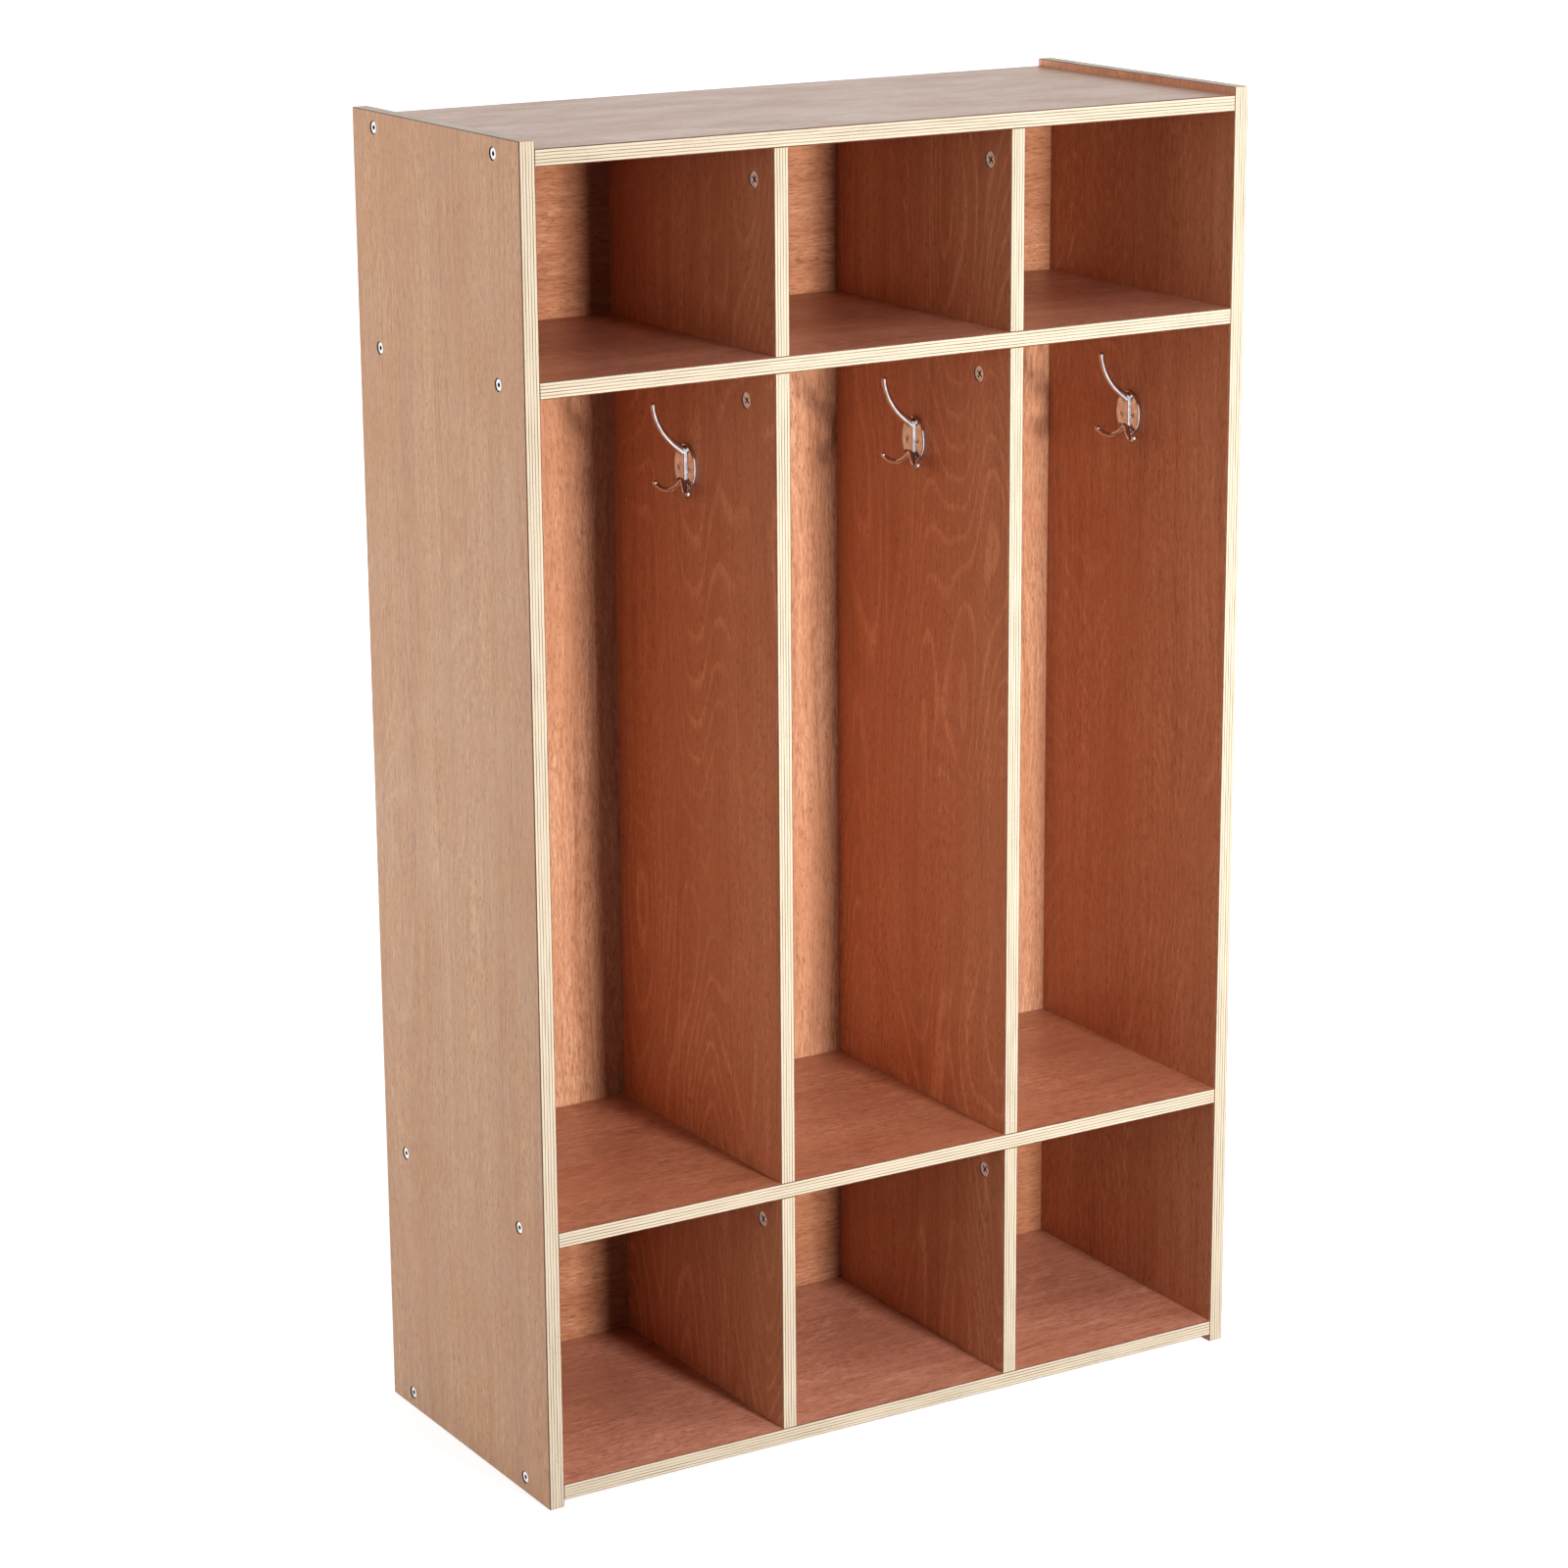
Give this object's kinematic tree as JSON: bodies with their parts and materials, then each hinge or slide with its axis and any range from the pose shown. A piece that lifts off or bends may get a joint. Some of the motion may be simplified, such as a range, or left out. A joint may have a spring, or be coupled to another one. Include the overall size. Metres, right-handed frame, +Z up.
{
  "type": "school coat locker",
  "caption": "Open-fronted plywood coat locker with side-by-side bays, each with an upper cubby, a coat bay with a triple hook and a lower cubby.",
  "frame": {"origin": "on the floor under the middle of the locker", "axes": "+Z up, -Y out of the open front, +X to the right as seen from the front"},
  "size_m": [0.746, 0.314, 1.219],
  "materials": {
    "plywood": "clear satin lacquer over plywood, layered edges",
    "back_plywood": "clear satin lacquer over thin plywood",
    "dowel_wood": "bare turned hardwood",
    "zinc": "nickel-plated zinc casting",
    "screw_steel": "zinc-plated steel",
    "hook_chrome": "polished chrome plate"
  },
  "bodies": {
    "locker": {"left_side_panel": "plywood", "right_side_panel": "plywood", "top_panel": "plywood", "upper_shelf": "plywood", "lower_shelf": "plywood", "bottom_panel": "plywood", "back_panel": "back_plywood", "upper_divider_left": "plywood", "upper_divider_right": "plywood", "middle_divider_left": "plywood", "middle_divider_right": "plywood", "lower_divider_left": "plywood", "lower_divider_right": "plywood", "cam_bolts": "screw_steel", "side_screws_left": "screw_steel", "side_screws_right": "screw_steel", "short_dowels": "dowel_wood", "long_dowels": "dowel_wood", "coat_hook_left": "hook_chrome", "coat_hook_middle": "hook_chrome", "coat_hook_right": "hook_chrome", "hook_screws": "screw_steel"},
    "cam_upper_left": {"cam_nut_upper_left": "zinc"},
    "cam_upper_right": {"cam_nut_upper_right": "zinc"},
    "cam_middle_left": {"cam_nut_middle_left": "zinc"},
    "cam_middle_right": {"cam_nut_middle_right": "zinc"},
    "cam_lower_left": {"cam_nut_lower_left": "zinc"},
    "cam_lower_right": {"cam_nut_lower_right": "zinc"}
  },
  "joints": [
    {"name": "cam_turn_upper_left", "type": "hinge", "parent": "locker", "child": "cam_upper_left", "pos_m": [-0.12183, -0.123, 1.167], "axis": [-1, 0, 0], "range_deg": [0, 180]},
    {"name": "cam_turn_upper_right", "type": "hinge", "parent": "locker", "child": "cam_upper_right", "pos_m": [0.12183, -0.123, 1.167], "axis": [-1, 0, 0], "range_deg": [0, 180]},
    {"name": "cam_turn_middle_left", "type": "hinge", "parent": "locker", "child": "cam_middle_left", "pos_m": [-0.12183, -0.107, 0.973], "axis": [-1, 0, 0], "range_deg": [0, 180]},
    {"name": "cam_turn_middle_right", "type": "hinge", "parent": "locker", "child": "cam_middle_right", "pos_m": [0.12183, -0.107, 0.973], "axis": [-1, 0, 0], "range_deg": [0, 180]},
    {"name": "cam_turn_lower_left", "type": "hinge", "parent": "locker", "child": "cam_lower_left", "pos_m": [-0.12183, -0.123, 0.217], "axis": [-1, 0, 0], "range_deg": [0, 180]},
    {"name": "cam_turn_lower_right", "type": "hinge", "parent": "locker", "child": "cam_lower_right", "pos_m": [0.12183, -0.123, 0.217], "axis": [-1, 0, 0], "range_deg": [0, 180]}
  ]
}
